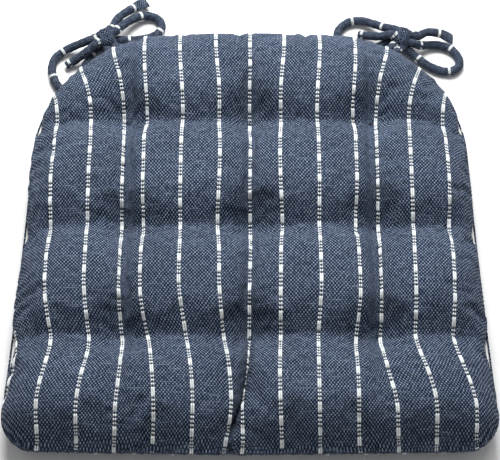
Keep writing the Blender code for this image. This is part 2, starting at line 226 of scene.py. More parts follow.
def fibreMaterial(name, first, second, scale, relief, roughness=0.8):
    made, tree, shader = newMaterial(name, roughness)
    spot = addNode(tree, "ShaderNodeTexCoord", {})["Object"]
    grain = noise(tree, spot, scale, detail=4.0)
    cloud = noise(tree, spot, scale / 9)
    share = calc(tree, "ADD", times(tree, grain, 0.6), times(tree, cloud, 0.4))
    tree.links.new(mix(tree, ramp(tree, share, 0.35, 0.65), first, second), shader.inputs["Base Color"])
    shader.inputs["Sheen Weight"].default_value = 0.1
    bump(tree, shader, grain, relief, 0.6)
    return made


coverCloth = clothMaterial("coverCloth")
tieCloth = clothMaterial("tieCloth", 0.74, 0.7)
stripeYarn = fibreMaterial("stripeYarn", rgb(0.58, 0.61, 0.61), rgb(0.84, 0.87, 0.87), 900.0, 0.0004)
tuftTwine = fibreMaterial("tuftTwine", rgb(0.012, 0.018, 0.04), rgb(0.04, 0.055, 0.10), 1400.0, 0.0002)
seamThread = fibreMaterial("seamThread", rgb(0.015, 0.022, 0.05), rgb(0.05, 0.065, 0.12), 1600.0, 0.0002)
battingFibre = fibreMaterial("battingFibre", rgb(0.78, 0.78, 0.75), rgb(0.92, 0.92, 0.90), 420.0, 0.0012)
coreFoam = fibreMaterial("coreFoam", rgb(0.78, 0.70, 0.46), rgb(0.92, 0.86, 0.64), 700.0, 0.0010)
print("materials")


# Mesh helpers

def meshObject(name, points, faces, material, flat=None):
    mesh = bpy.data.meshes.new(name)
    mesh.from_pydata(np.asarray(points, float).tolist(), [], faces)
    mesh.materials.append(material)
    if flat is not None:
        layer = mesh.uv_layers.new(name="cloth")
        corner = np.zeros(len(mesh.loops), np.int32)
        mesh.loops.foreach_get("vertex_index", corner)
        layer.data.foreach_set("uv", np.asarray(flat, np.float32)[corner].ravel())
    mesh.shade_smooth()
    return newObject(name, mesh)


def tubeFaces(count, sides, closed=False):
    # quads between rings of points, one after the other
    faces = []
    for j in range(count if closed else count - 1):
        low, high = j * sides, (j + 1) % count * sides
        for k in range(sides):
            n = (k + 1) % sides
            faces.append((low + k, high + k, high + n, low + n))
    return faces


def unit(vectors):
    return vectors / np.maximum(np.linalg.norm(vectors, axis=-1, keepdims=True), 1e-12)


def running(line):
    # distance along a line of points
    return np.concatenate([[0.0], np.cumsum(np.linalg.norm(np.diff(line, axis=0), axis=1))])


def spacedLine(line, count):
    # the line again, with so many even steps
    along = running(line)
    at = np.linspace(0.0, along[-1], count + 1)
    return np.stack([np.interp(at, along, column) for column in line.T], axis=1)


def smoothLine(points, step, closed=False):
    spots = np.asarray(points, float)
    if closed:
        spots = np.vstack([spots[-1:], spots, spots[:2]])
    else:
        spots = np.vstack([2 * spots[:1] - spots[1:2], spots, 2 * spots[-1:] - spots[-2:-1]])
    fine = []
    for p0, p1, p2, p3 in zip(spots, spots[1:], spots[2:], spots[3:]):
        for t in np.linspace(0.0, 1.0, 14, endpoint=False):
            bend = (2 * p0 - 5 * p1 + 4 * p2 - p3) * t**2 + (3 * p1 - p0 - 3 * p2 + p3) * t**3
            fine.append(p1 + (p2 - p0) * t / 2 + bend / 2)
    fine.append(spots[-2])
    line = np.array(fine)
    return spacedLine(line, max(2, round(running(line)[-1] / step)))


# Stripes of thick white yarn, two ends side by side

stripes = {
    "pitch": 0.0331,
    "apart": 0.00088,
    "count": 8,  # on each side of the middle one
    "pick": 0.0018,
    "repeat": 24,  # half picks
}


def yarnPair(line, outwards, apart, shift):
    # two yarns side by side along a line, with a point at each half pick
    along = running(line)
    count = max(8, round(along[-1] / (stripes["pick"] / 2)))
    at = np.linspace(0.0, along[-1], count + 1)
    outwards = unit(np.stack([np.interp(at, along, column) for column in outwards.T], axis=1))
    line = spacedLine(line, count)
    aside = unit(np.cross(np.gradient(line, axis=0), outwards)) * apart
    phase = (np.arange(count + 1) + shift) % stripes["repeat"] / stripes["repeat"]
    return [(line + aside, outwards, phase), (line - aside, outwards, phase)]


# Ties: four turned cloth straps, two knots

tie = {
    "radius": 0.0040,
    "step": 0.0012,
    "sides": 20,
    "pressed": (0.0060, 0.0013),  # half width and half thickness of a pressed end
    "pressedReach": 0.017,
    "openDepth": 0.007,
    "rootShare": 0.8,  # a strap is a little thinner over its first stretch
    "rootReach": 0.03,
    "lowest": 0.0002,
    "firstStripe": {"open": 0.0040, "pressed": 0.0170},  # from the strap's end
    "lastStripe": 0.012,  # from its root
    "wall": 0.0010,
    "waves": ((0.00012, 900.0, 0.0), (0.00010, 410.0, 1.0)),  # size, waves and start
    "yarn": {"Radius": 0.00062, "Rise": 0.0002, "Dip": 0.0011},
}
# points in millimetres along the seam, outwards and up
knotPlaces = {"left": (9, 25, 12), "right": (-2, 30, 12)}
strands = {
    ("left", "inner"): {
        "root": [
            (11.5, 0.3, 23), (11.5, 3.3, 23), (11.8, 7, 20.5), (12.4, 11, 15), (12.8, 13, 13),
            (12.8, 15.2, 13),
        ],
        "firstTurn": [(13.2, 20, 14.5), (15, 24.3, 16.4)],
        "loop": [
            (17.8, 25.3, 17), (20.3, 25.3, 17), (31, 30, 14), (45, 34, 9), (58, 33, 5.5),
            (66, 25.5, 4.3), (65.5, 15.5, 4.3), (58, 10, 4.3), (47, 10.5, 4.3), (36, 14.5, 4.3),
            (27, 18.3, 5.8), (20.3, 20.5, 9), (17.8, 20.5, 9),
        ],
        "secondTurn": [(9, 21.5, 13)],
        "tail": [
            (0.2, 22.5, 17), (-2.3, 22.5, 17), (-13, 21.7, 13.2), (-25, 22.5, 7.5), (-35, 23, 4.3),
        ],
        "end": "open",
        "nodes": ("root_inner", "loop_inner", "tail_outer"),
    },
    ("left", "outer"): {
        "root": [
            (3.5, 0.3, 23), (3.5, 3.3, 23), (3.8, 7, 20.5), (4.6, 11, 15), (5.2, 13, 13),
            (5.2, 15.2, 13),
        ],
        "firstTurn": [(5, 22, 13.4), (3.4, 29, 14.2)],
        "loop": [
            (0.2, 31, 14.5), (-2.3, 31, 14.5), (-12, 34, 11), (-22, 37, 7.5), (-32, 38, 5),
            (-42, 35, 4.3), (-49.5, 26, 4.3), (-53, 14, 4.3), (-52.5, 4.5, 4.3), (-46, -0.5, 4.3),
            (-37, 3, 4.3), (-26, 10, 4.3), (-14, 17.5, 4.3), (-7, 22, 5.2), (-2.3, 23.5, 6),
            (0.2, 23.5, 6),
        ],
        "secondTurn": [(9, 28, 9.5)],
        "tail": [
            (17.8, 33.2, 13), (20.3, 33.2, 13), (32, 41, 11.5), (46, 45, 9), (58, 47, 6),
            (67, 47.5, 4.3),
        ],
        "end": "pressed",
        "nodes": ("root_outer", "loop_outer", "tail_inner"),
    },
    ("right", "inner"): {
        "root": [
            (-5.8, 0.3, 23), (-5.8, 3.3, 23), (-5.8, 8, 21), (-5.8, 14, 15.5), (-5.8, 17.5, 13),
            (-5.8, 20.2, 13),
        ],
        "firstTurn": [(-5.8, 26, 13.5), (-7.6, 32.2, 14.6)],
        "loop": [
            (-10.8, 34, 15), (-13.3, 34, 15), (-24, 32, 13), (-36, 32.5, 9), (-48, 32, 5.5),
            (-58, 26, 4.3), (-62.5, 15, 4.3), (-60.5, 5.5, 4.3), (-52, 0.5, 4.3), (-40, 1.5, 4.3),
            (-29, 7, 4.3), (-20, 15, 5), (-13.3, 24.5, 8), (-10.8, 24.5, 8),
        ],
        "secondTurn": [(-2, 31, 11.5)],
        "tail": [
            (6.8, 38.2, 15), (9.3, 38.2, 15), (14.5, 46, 16.2), (24, 53, 13), (31, 56.5, 8.5),
            (36, 59, 4.3),
        ],
        "end": "pressed",
        "nodes": ("root_inner", "loop_inner", "tail_outer"),
    },
    ("right", "outer"): {
        "root": [
            (1.8, 0.3, 23), (1.8, 3.3, 23), (1.8, 8, 21), (1.8, 14, 15.5), (1.8, 17.5, 13),
            (1.8, 20.2, 13),
        ],
        "firstTurn": [(2, 25, 13.2), (4, 28.8, 13.4)],
        "loop": [
            (6.8, 29.8, 13.5), (9.3, 29.8, 13.5), (14, 34, 8.8), (19.5, 40, 5.8), (28, 46, 4.4),
            (41, 48, 4.3), (51, 43.5, 4.3), (56, 36, 4.3), (54, 28, 4.3), (46.5, 22.5, 4.3),
            (36, 20.5, 4.3), (25, 21, 4.5), (15, 22.5, 5.6), (9.3, 24, 7), (6.8, 24, 7),
        ],
        "secondTurn": [(-2, 25, 12)],
        "tail": [
            (-10.8, 26, 17.5), (-13.3, 26, 17.5), (-22, 21.5, 12.5), (-32, 19.5, 8), (-43, 17, 4.3),
        ],
        "end": "open",
        "nodes": ("root_outer", "loop_outer", "tail_inner"),
    },
}


def bowFrame(side):
    # the place where a bow leaves the seam, with the directions along the seam and outwards
    joint = next(j for j in frame["joints"] if j["name"] == f"{side}_bow_hinge")
    along = np.array(joint["axis"], float)
    outwards = np.cross(up, along)
    place = np.array(joint["pos_m"], float) - outwards * 0.0003
    place[2] = 0.0
    return place, along, outwards


def bowPoints(side, spots):
    place, along, outwards = bowFrame(side)
    spots = np.array(spots, float) / 1000
    return place + spots[:, :1] * along + spots[:, 1:2] * outwards + spots[:, 2:] * up


def strapSection(share, long, end):
    # half width, half thickness at a distance along the strap
    radius = tie["radius"]
    root = min(1.0, tie["rootShare"] + share / tie["rootReach"])
    wide, thick = radius * root, radius * root
    if end == "pressed":
        left = long - share
        press = np.clip(1 - left / tie["pressedReach"], 0, 1)
        press = min(1.0, press * 2.2) ** 0.8
        wide += (tie["pressed"][0] - wide) * press
        thick += (tie["pressed"][1] - thick) * press
    return wide, thick


def strapFrames(line):
    forward = unit(np.gradient(line, axis=0))
    aside = unit(np.cross(forward, up))
    return forward, aside, unit(np.cross(aside, forward))


def strapRing(centre, aside, over, wide, thick, turns):
    return centre + np.outer(np.cos(turns) * wide, aside) + np.outer(np.sin(turns) * thick, over)


def makeStrap(side, name, strand):
    spots = [*strand["root"], *strand["firstTurn"], *strand["loop"], *strand["secondTurn"], *strand["tail"]]
    line = smoothLine(bowPoints(side, spots), tie["step"])
    forward, aside, over = strapFrames(line)
    along = running(line)
    turns = np.linspace(0.0, 2 * math.pi, tie["sides"], endpoint=False)
    rings, flat = [], []

    def addRing(k, shrink=0.0, ahead=0.0):
        wide, thick = strapSection(along[k], along[-1], strand["end"])
        wave = sum(size * math.sin(along[k] * waves + start) for size, waves, start in tie["waves"])
        middle = line[k] + forward[k] * ahead
        more = wave - shrink
        ring = strapRing(middle, aside[k], over[k], wide + more, thick + more, turns)
        ring[:, 2] = np.maximum(ring[:, 2], tie["lowest"])
        rings.append(ring)
        flat.append(np.stack([turns * tie["radius"], np.full(len(turns), along[k] + ahead)], axis=1))

    for k in range(len(line)):
        addRing(k)
    last = len(line) - 1
    if strand["end"] == "open":
        addRing(last, tie["wall"] * 0.5, 0.0006)
        addRing(last, tie["wall"], 0.0002)
        for inward in (0.3, 0.65, 1.0):
            addRing(last, tie["wall"] * 1.2, -tie["openDepth"] * inward)
    else:
        addRing(last, 0.0005, 0.0003)
    sides = len(turns)
    faces = tubeFaces(len(rings), sides)
    faces.append(tuple(range(sides)))
    top = (len(rings) - 1) * sides
    faces.append(tuple(top + k for k in reversed(range(sides))))
    made = meshObject(name, np.vstack(rings), faces, tieCloth, np.vstack(flat))
    return made, line, along


def tieRings(line, along, end):
    # one loop of yarn wherever a stripe of the cloth crosses the strap
    forward, aside, over = strapFrames(line)
    turns = np.linspace(0.0, 2 * math.pi, 41)
    first = along[-1] - tie["firstStripe"][end]
    found = []
    for number, at in enumerate(np.arange(first, tie["lastStripe"], -stripes["pitch"])):
        k = int(np.argmin(np.abs(along - at)))
        wide, thick = strapSection(along[k], along[-1], end)
        ring = strapRing(line[k], aside[k], over[k], wide, thick, turns + number * 2.1)
        outwards = unit(ring - line[k])
        found += yarnPair(ring, outwards, stripes["apart"] * 0.75, (number * 7) % stripes["repeat"])
    return found


# Yarn that floats over the cloth and dips under it, by Geometry Nodes

yarn = {
    "Radius": 0.00088,
    "Rise": 0.00030,
    "Dip": 0.0014,
    "Sides": 6,
}
thinYarn = {"Sides": 5, "Radius": 0.00072, "Rise": 0.00022}
floatShape = [  # share of one repeat of 12 picks, and how far up the yarn is
    (0.0, 0.45), (0.5, 0.95), (1.2, 1.0), (3.8, 1.0), (4.5, 0.95), (5.0, 0.45), (5.5, 0.0),
    (6.0, 0.5), (6.5, 0.95), (7.0, 0.5), (7.5, 0.0), (8.0, 0.5), (8.5, 0.95), (9.0, 0.5),
    (9.5, 0.0), (10.0, 0.5), (10.5, 0.95), (11.0, 0.5), (11.5, 0.0), (12.0, 0.45),
]


def newTree(name, values):
    # an empty tree with its sizes and material as named inputs
    tree = bpy.data.node_groups.new(name, "GeometryNodeTree")
    face = tree.interface
    face.new_socket("Geometry", in_out="INPUT", socket_type="NodeSocketGeometry")
    for key, value in values.items():
        kind = "NodeSocketInt" if isinstance(value, int) else "NodeSocketFloat"
        face.new_socket(key, in_out="INPUT", socket_type=kind).default_value = value
    face.new_socket("Material", in_out="INPUT", socket_type="NodeSocketMaterial")
    face.new_socket("Geometry", in_out="OUTPUT", socket_type="NodeSocketGeometry")
    source = addNode(tree, "NodeGroupInput", {})
    return tree, source, addNode(tree, "GeometryNodeMeshToCurve", {0: source["Geometry"]})[0]


def skinTree(tree, source, curve, radius, profile):
    # a skin round the curve, made real, smooth and given its material
    inputs = {"Curve": curve, "Profile Curve": profile, "Scale": radius, "Fill Caps": True}
    skin = addNode(tree, "GeometryNodeCurveToMesh", inputs)[0]
    smooth = addNode(tree, "GeometryNodeSetShadeSmooth", {0: skin})[0]
    real = addNode(tree, "GeometryNodeRealizeInstances", {0: smooth})[0]
    inputs = {"Geometry": real, "Material": source["Material"]}
    addNode(tree, "NodeGroupOutput", {0: addNode(tree, "GeometryNodeSetMaterial", inputs)[0]})


def named(tree, name, kind):
    return addNode(tree, "GeometryNodeInputNamedAttribute", {"Name": name}, data_type=kind)["Attribute"]


def yarnTree():
    tree, source, line = newTree("yarnFloats", yarn)
    lift = tree.nodes.new("ShaderNodeFloatCurve")
    curve = lift.mapping.curves[0]
    for x, y in floatShape[1:-1]:
        curve.points.new(x / floatShape[-1][0], y)
    curve.points[0].location = (0.0, floatShape[0][1])
    curve.points[-1].location = (1.0, floatShape[-1][1])
    for point in curve.points:
        point.handle_type = "VECTOR"
    lift.mapping.update()
    tree.links.new(named(tree, "phase", "FLOAT"), lift.inputs["Value"])
    raised = lift.outputs[0]
    height = times(tree, raised, calc(tree, "ADD", source["Rise"], source["Dip"]))
    height = calc(tree, "SUBTRACT", height, source["Dip"])
    inputs = {0: named(tree, "outwards", "FLOAT_VECTOR"), "Scale": height}
    offset = addNode(tree, "ShaderNodeVectorMath", inputs, operation="SCALE")[0]
    place = addNode(tree, "GeometryNodeSetPosition", {"Geometry": line, "Offset": offset})[0]
    thick = calc(tree, "ADD", times(tree, raised, 0.5), 0.5)
    radius = times(tree, thick, source["Radius"])
    inputs = {"Resolution": source["Sides"], "Radius": 1.0}
    circle = addNode(tree, "GeometryNodeCurvePrimitiveCircle", inputs, mode="RADIUS")[0]
    skinTree(tree, source, place, radius, circle)
    return tree


def growYarns(name, lines, tree, material, values=None):
    # lines holds the points, outward directions and places in the repeat of each yarn
    points = np.vstack([line for line, _, _ in lines])
    outwards = np.vstack([out for _, out, _ in lines])
    phase = np.concatenate([shift for _, _, shift in lines])
    edges, first = [], 0
    for line, _, _ in lines:
        edges += [(k, k + 1) for k in range(first, first + len(line) - 1)]
        first += len(line)
    mesh = bpy.data.meshes.new(name)
    mesh.from_pydata(points.tolist(), edges, [])
    mesh.attributes.new("outwards", "FLOAT_VECTOR", "POINT").data.foreach_set("vector", outwards.ravel())
    mesh.attributes.new("phase", "FLOAT", "POINT").data.foreach_set("value", phase)
    guide = newObject(name + "Guide", mesh)
    modifier = guide.modifiers.new("yarns", "NODES")
    modifier.node_group = tree
    settings = {**yarn, **(values or {}), "Material": material}
    for item in tree.interface.items_tree:
        if item.in_out == "INPUT" and item.name in settings:
            modifier[item.identifier] = settings[item.name]
    bpy.context.view_layer.update()
    shown = guide.evaluated_get(bpy.context.evaluated_depsgraph_get())
    result = bpy.data.meshes.new_from_object(shown)
    result.name = name
    for attribute in ("outwards", "phase"):
        if attribute in result.attributes:
            result.attributes.remove(result.attributes[attribute])
    if not result.materials:
        result.materials.append(material)
    guide.modifiers.clear()
    bpy.data.objects.remove(guide)
    return newObject(name, result)


yarnFloats = yarnTree()

knot = {
    "half": (0.0085, 0.0095, 0.0085),
    "band": (0.0072, 0.0021),  # half width and half thickness
    "lean": 0.00132,
    "squareness": 2.6,
    "folds": 0.00038,
    "swell": 0.0012,
    "steps": 56,
    "sides": 26,
}


def makeKnot(side):
    # the strap that wraps round the crossing, as a soft band with pressed folds
    _, along, outwards = bowFrame(side)
    centre = bowPoints(side, [knotPlaces[side]])[0]
    wideOut, wideUp = (h - knot["band"][1] for h in knot["half"][1:])
    lean = knot["lean"] * (1 if side == "left" else -1)
    rings, flat, sides = [], [], knot["sides"]
    turns = np.linspace(0.0, 2 * math.pi, sides, endpoint=False)
    for step in range(knot["steps"]):
        angle = 2 * math.pi * step / knot["steps"]
        ring = outwards * math.cos(angle) + up * math.sin(angle)
        spoke = unit(outwards * math.cos(angle) * wideUp + up * math.sin(angle) * wideOut)
        square = knot["squareness"]
        squash = (abs(math.cos(angle)) ** square + abs(math.sin(angle)) ** square) ** (-1 / square)
        middle = centre + (outwards * math.cos(angle) * wideOut + up * math.sin(angle) * wideUp) * squash
        middle = middle + along * lean * math.sin(angle + 0.6)
        width = knot["band"][0] * (1 + 0.08 * math.sin(2 * angle + 0.5))
        thick = knot["band"][1] * (1 + 0.12 * math.sin(3 * angle))
        across = np.sign(np.cos(turns)) * np.abs(np.cos(turns)) ** 0.8 * width
        folds = knot["folds"] * np.cos(across / width * 9.0 + 1.2 * math.sin(angle))
        folds = folds + knot["swell"] * (1 - (across / width) ** 2)
        over = np.sin(turns) * thick + folds * (np.sin(turns) > 0)
        rings.append(middle + np.outer(across, along) + np.outer(over, spoke))
        girth = angle * (wideOut + wideUp) / 2
        flat.append(np.stack([np.cumsum(np.full(sides, 0.0013)), np.full(sides, girth)], axis=1))
    faces = [(a, d, c, b) for a, b, c, d in tubeFaces(knot["steps"], sides, closed=True)]
    return meshObject(f"{side}_knot_wrap", np.vstack(rings), faces, tieCloth, np.vstack(flat))


def settle(piece, body, slot, *nodes):
    if nodes:
        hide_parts(*nodes)
    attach(piece, body)


def makeBows():
    for side in ("left", "right"):
        body = f"{side}_bow"
        settle(makeKnot(side), body, "tie_fabric", f"{side}_knot")
        for name in ("inner", "outer"):
            strand = strands[side, name]
            strap, line, along = makeStrap(side, f"{side}_{name}_strap", strand)
            rings = tieRings(line, along, strand["end"])
            label = f"{side}_{name}_strap_stripes"
            marks = growYarns(label, rings, yarnFloats, stripeYarn, tie["yarn"])
            settle(strap, body, "tie_fabric", *(f"{side}_{node}" for node in strand["nodes"]))
            settle(marks, body, "tie_fabric")


makeBows()
print("ties")


# The pad's shape, as two square grids that share the seam

pad = {
    "cells": 200,
    "rollReach": 0.036,
    "crownReach": 0.095,
    "edgeShare": 0.86,
    "rim": 0.020,
    "seam": 0.023,
    "thickness": 0.0605,
    "unevenness": ((0.055, 0.080, 0.12), 0.0011),  # lengths and size of the waves
    "puckers": ((0.010, 0.014, 0.019), 0.0011),
    "edgePuckers": ((61, 83, 104, 127), 0.00016),  # waves all round, and their size
    "fabric": 0.0012,
    "stripeRoom": 0.0010,  # what the stripes stand out below the cloth
}
rowCrease = {
    "depth": 0.0145,
    "folds": ((0.52, 0.025), (0.36, 0.010)),  # share and reach of each round fold
    "sharp": (0.12, 0.004),
    "frontSlope": 0.74,  # the creases are steeper behind than in front
    "backSlope": 1.15,
    "bow": 0.0045,
    "bowReach": 0.022,
    "waver": 0.0012,
    "atEdge": 0.35,
}
columnCrease = {
    "depth": 0.0095,
    "folds": ((0.5, 0.015), (0.5, 0.0045)),
    "drift": 0.0030,
    "waver": 0.0012,
}
dimple = {
    "reach": 0.040,
    "pinchReach": 0.0085,
    "shares": (0.42, 0.58),
    "below": 0.0016,  # how far under a tuft's upper end the cloth lies
    "gathers": ((7, 0.6), (11, 0.4)),  # count and share
    "gatherSize": 0.0011,
    "tight": (0.90, 0.30, 0.034),
}
cleft = {
    "depth": 0.022,
    "folds": ((0.72, 0.0022), (0.28, 0.022)),
    "drift": -0.0170,
    "length": 0.105,
    "squeeze": 0.0115,
    "draw": 0.88,
    "drawReach": 0.11,
    "notch": 0.0032,
    "notchReach": 0.006,
}
chance = np.random.default_rng(7)


def smoothStep(value, low=0.0, high=1.0):
    share = np.clip((value - low) / (high - low), 0.0, 1.0)
    return share * share * (3 - 2 * share)


def tuftSpots():
    # tuft names with the middle and the upper end of each
    found = {}
    for name in sorted(frame["nodes"]):
        if name.startswith("tuft_"):
            low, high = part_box(name)
            found[name] = ((low + high) / 2, high.z)
    return found


tufts = tuftSpots()
tuftPlaces = np.array([(spot[0].x, spot[0].y) for spot in tufts.values()])
rows = sorted({round(spot[0].y, 4) for spot in tufts.values()})
columns = sorted({round(spot[0].x, 4) for spot in tufts.values()})


def padOutline():
    mesh = frame["nodes"]["cover_top"].data
    spots = np.unique(np.round([tuple(v.co) for v in mesh.vertices], 6), axis=0)
    rim = spots[spots[:, 2] < spots[:, 2].min() + 1e-5][:, :2]
    apart = np.linalg.norm(rim[:, None] - rim[None], axis=2)
    apart[np.arange(len(rim)), np.arange(len(rim))] = 9.0
    radius = np.linalg.norm(rim, axis=1)
    rim = rim[radius > radius[apart.argmin(1)]]
    rim = rim[np.argsort(np.arctan2(rim[:, 1], rim[:, 0]))]
    return smoothLine(rim, 0.003, closed=True)[:-1]


def edgeDistance(points, ring):
    run = np.roll(ring, -1, axis=0) - ring
    best = np.full(len(points), 9.0)
    for start, side in zip(ring, run):
        away = points - start
        share = np.clip((away @ side) / (side @ side), 0.0, 1.0)
        best = np.minimum(best, np.linalg.norm(away - share[:, None] * side, axis=1))
    return best


def rollShare(distance):
    return np.sqrt(1 - (1 - np.clip(distance / pad["rollReach"], 0, 1)) ** 2)


grid = {
    "inset": 0.205,  # from the seam to the middle
    "steps": 400,
    "rollHeight": 0.034,
    "halfWidth": 0.190,  # of the even grid in the middle
    "taper": 0.016,
    "halfDepth": 0.196,
    "evenShare": 0.15,
}


def planGrid(ring, count):
    line = np.linspace(-1.0, 1.0, count + 1)
    across, deep = np.meshgrid(line, line)
    step = np.maximum(np.abs(across), np.abs(deep))
    # rings lie evenly over the rolled edge
    inset = np.linspace(0.0, grid["inset"], grid["steps"])
    section = running(np.stack([inset, rollShare(inset) * grid["rollHeight"]], axis=1))
    reach = 1 - np.interp((1 - step) * section[-1], section, inset) / inset[-1]
    scale = np.where(step > 0, reach / np.maximum(step, 1e-9), 0.0)
    across, deep = across * scale, deep * scale
    halfWidth = grid["halfWidth"] - grid["taper"] * deep
    square = np.stack([across * halfWidth, deep * grid["halfDepth"]], axis=-1)
    angle = np.arctan2(square[..., 1], square[..., 0])
    ringAngle = np.arctan2(ring[:, 1], ring[:, 0])
    order = np.argsort(ringAngle)
    ordered = ringAngle[order]
    wrapAngle = np.concatenate([ordered - 2 * math.pi, ordered, ordered + 2 * math.pi])
    ringRadius = np.tile(np.linalg.norm(ring, axis=1)[order], 3)
    radius = np.interp(angle, wrapAngle, ringRadius)
    spokes = np.stack([np.cos(angle), np.sin(angle)], axis=-1) * (radius * reach)[..., None]
    share = smoothStep(reach, grid["evenShare"], 1.0)[..., None]
    return square * (1 - share) + spokes * share


def gridNormals(points):
    across = np.gradient(points, axis=1)
    deep = np.gradient(points, axis=0)
    return unit(np.cross(across, deep))


def cleftPath(y):
    # sideways place of the front cleft
    share = np.clip((rows[0] - y) / cleft["length"], 0.0, 1.2)
    return cleft["drift"] * share**1.9


def wander(place, lengths, size):
    # a smooth random height field, as a sum of waves
    total = np.zeros(place.shape[:-1])
    for length in lengths:
        for _ in range(4):
            angle, shift = chance.uniform(0, 2 * math.pi, 2)
            wave = place[..., 0] * math.cos(angle) + place[..., 1] * math.sin(angle)
            total += np.sin(wave * 2 * math.pi / length + shift)
    return total * size / (2 * len(lengths))


def hump(away, reach):
    return np.exp(-((away / reach) ** 2))


def folded(away, folds):
    # round folds one inside the other, each with its share and reach
    return sum(share * hump(away, reach) for share, reach in folds)


def drawnIn(x, y, opened):
    # the cleft pulls the cloth beside it together
    aside = x - cleftPath(y)
    squeeze = cleft["squeeze"]
    drawn = squeeze * cleft["draw"] * opened * (1 - np.exp(-np.abs(aside) / squeeze))
    return x - np.sign(aside) * drawn * hump(aside, cleft["drawReach"])


def fromRowCrease(x, y):
    nearColumn = np.min([np.abs(x - column) for column in columns], axis=0)
    bow = rowCrease["bow"] * (1 - hump(nearColumn, rowCrease["bowReach"]))
    aways = [y - row + bow + rowCrease["waver"] * np.sin(x * 55 + row * 40) for row in rows]
    steep = [np.where(away < 0, -rowCrease["frontSlope"], rowCrease["backSlope"]) for away in aways]
    return np.min([away * slope for away, slope in zip(aways, steep)], axis=0)


def fromColumnCrease(x, y):
    drifts = [column - columnCrease["drift"] * np.sign(round(column, 3)) for column in columns]
    aways = [x - drift + columnCrease["waver"] * np.sin(y * 60 + drift * 30) for drift in drifts]
    return np.min(np.abs(aways), axis=0)


def creaseDepth(x, y, nearRow, fromTuft, rim):
    share, reach = rowCrease["sharp"]
    rowShape = folded(nearRow, rowCrease["folds"]) + share * np.exp(-nearRow / reach)
    slack, more, reach = dimple["tight"]
    tight = slack + more * hump(fromTuft, reach)
    inRow = rowCrease["depth"] * rowShape * (rowCrease["atEdge"] + (1 - rowCrease["atEdge"]) * rim)
    between = smoothStep(y, rows[0] - 0.022, rows[0] + 0.01)
    between = between * (1 - smoothStep(y, rows[-1] + 0.02, rows[-1] + 0.06))
    columnShape = folded(fromColumnCrease(x, y), columnCrease["folds"])
    return tight * (inRow + columnCrease["depth"] * columnShape * between * rim)


def tuftPull(fromTuft):
    # how much of the way down to its tuft the cloth is at a distance from it
    wide = (1 - np.clip(fromTuft / dimple["reach"], 0, 1) ** 2) ** 3
    pinch = np.exp(-(fromTuft / dimple["pinchReach"]) ** 0.95)
    return dimple["shares"][0] * wide + dimple["shares"][1] * pinch


def gathers(x, y, nearest, fromTuft):
    # small pleats that stand round each tuft
    angle = np.arctan2(y - tuftPlaces[nearest, 1], x - tuftPlaces[nearest, 0])
    waves = enumerate(dimple["gathers"], 1)
    total = sum(np.cos(count * angle + k * nearest * 1.7) * share for k, (count, share) in waves)
    return dimple["gatherSize"] * total * hump(fromTuft - 0.011, 0.008)


def topSurface(plan, distance):
    x, y = plan[..., 0], plan[..., 1]
    crown = np.sin(np.clip(distance / pad["crownReach"], 0, 1) * math.pi / 2)
    share = pad["edgeShare"] * rollShare(distance) + (1 - pad["edgeShare"]) * crown
    height = pad["seam"] + (pad["thickness"] - pad["seam"]) * share
    opened = smoothStep(rows[0] - y, -0.004, 0.022)
    x = drawnIn(x, y, opened)
    points = np.stack([x, y, height], axis=-1)
    normals = gridNormals(points)
    apart = np.linalg.norm(points[..., None, :2] - tuftPlaces, axis=-1)
    nearest, fromTuft = apart.argmin(-1), apart.min(-1)
    nearRow = fromRowCrease(x, y)
    rim = smoothStep(distance, 0.0, pad["rim"])
    pull = tuftPull(fromTuft)
    atTuft = height - (max(tuftTop for _, tuftTop in tufts.values()) - dimple["below"])
    depth = creaseDepth(x, y, nearRow, fromTuft, rim) * (1 - pull) + atTuft * pull
    depth = depth + gathers(x, y, nearest, fromTuft)
    # the cleft, sharp in the middle
    aside = x - cleftPath(y)
    (sharp, narrow), (soft, wide) = cleft["folds"]
    split = sharp * np.exp(-np.abs(aside) / narrow) + soft * hump(aside, wide)
    depth = depth + cleft["depth"] * split * opened * smoothStep(distance, 0.0, 0.012) * (1 - 0.8 * pull)
    # unevenness, and puckers along creases and seam
    depth = depth + wander(points, *pad["unevenness"]) * rim
    pucker = wander(points * (1.0, 0.35, 1.0), *pad["puckers"])
    depth = depth + pucker * np.exp(-nearRow / 0.012) * rim * smoothStep(fromTuft, 0.0, 0.02)
    angleRound = np.arctan2(plan[..., 1], plan[..., 0])
    counts, size = pad["edgePuckers"]
    edge = sum(np.sin(angleRound * waves + chance.uniform(0, 6.28)) for waves in counts) * size
    depth = depth + edge * np.exp(-distance / 0.008) * smoothStep(distance, 0.0, 0.002)
    return points - normals * depth[..., None]


underside = {
    "tuftHeight": 0.0085,
    "reach": 0.034,
    "pinchReach": 0.008,
    "unevenness": ((0.05, 0.09), 0.0008),
}


def bottomSurface(plan, distance):
    height = pad["seam"] * (1 - rollShare(distance))
    apart = np.linalg.norm(plan[..., None, :] - tuftPlaces, axis=-1)
    fromTuft = apart.min(-1)
    wide = (1 - np.clip(fromTuft / underside["reach"], 0, 1) ** 2) ** 2
    pull = (wide + np.exp(-fromTuft / underside["pinchReach"])) / 2
    height = height * (1 - pull) + underside["tuftHeight"] * pull
    points = np.concatenate([plan, height[..., None]], axis=-1)
    rim = smoothStep(distance, 0.0, pad["rim"])
    points[..., 2] += np.abs(wander(points, *underside["unevenness"])) * rim
    return points


swell = {
    "stride": 2,
    "frames": 20,
    "mostMove": 0.0035,
    "cloth": {
        "quality": 6,
        "mass": 0.25,
        "tension_stiffness": 22.0,
        "compression_stiffness": 22.0,
        "shear_stiffness": 6.0,
        "bending_stiffness": 0.4,
        "use_pressure": True,
        "uniform_pressure_force": 3.0,
        "pin_stiffness": 1.0,
        "shrink_min": -0.03,
    },
    "grips": ((1.0, 0.010), (0.75, 0.009), (0.6, 0.006), (1.0, 0.007)),  # tufts, rows, columns, cleft
}


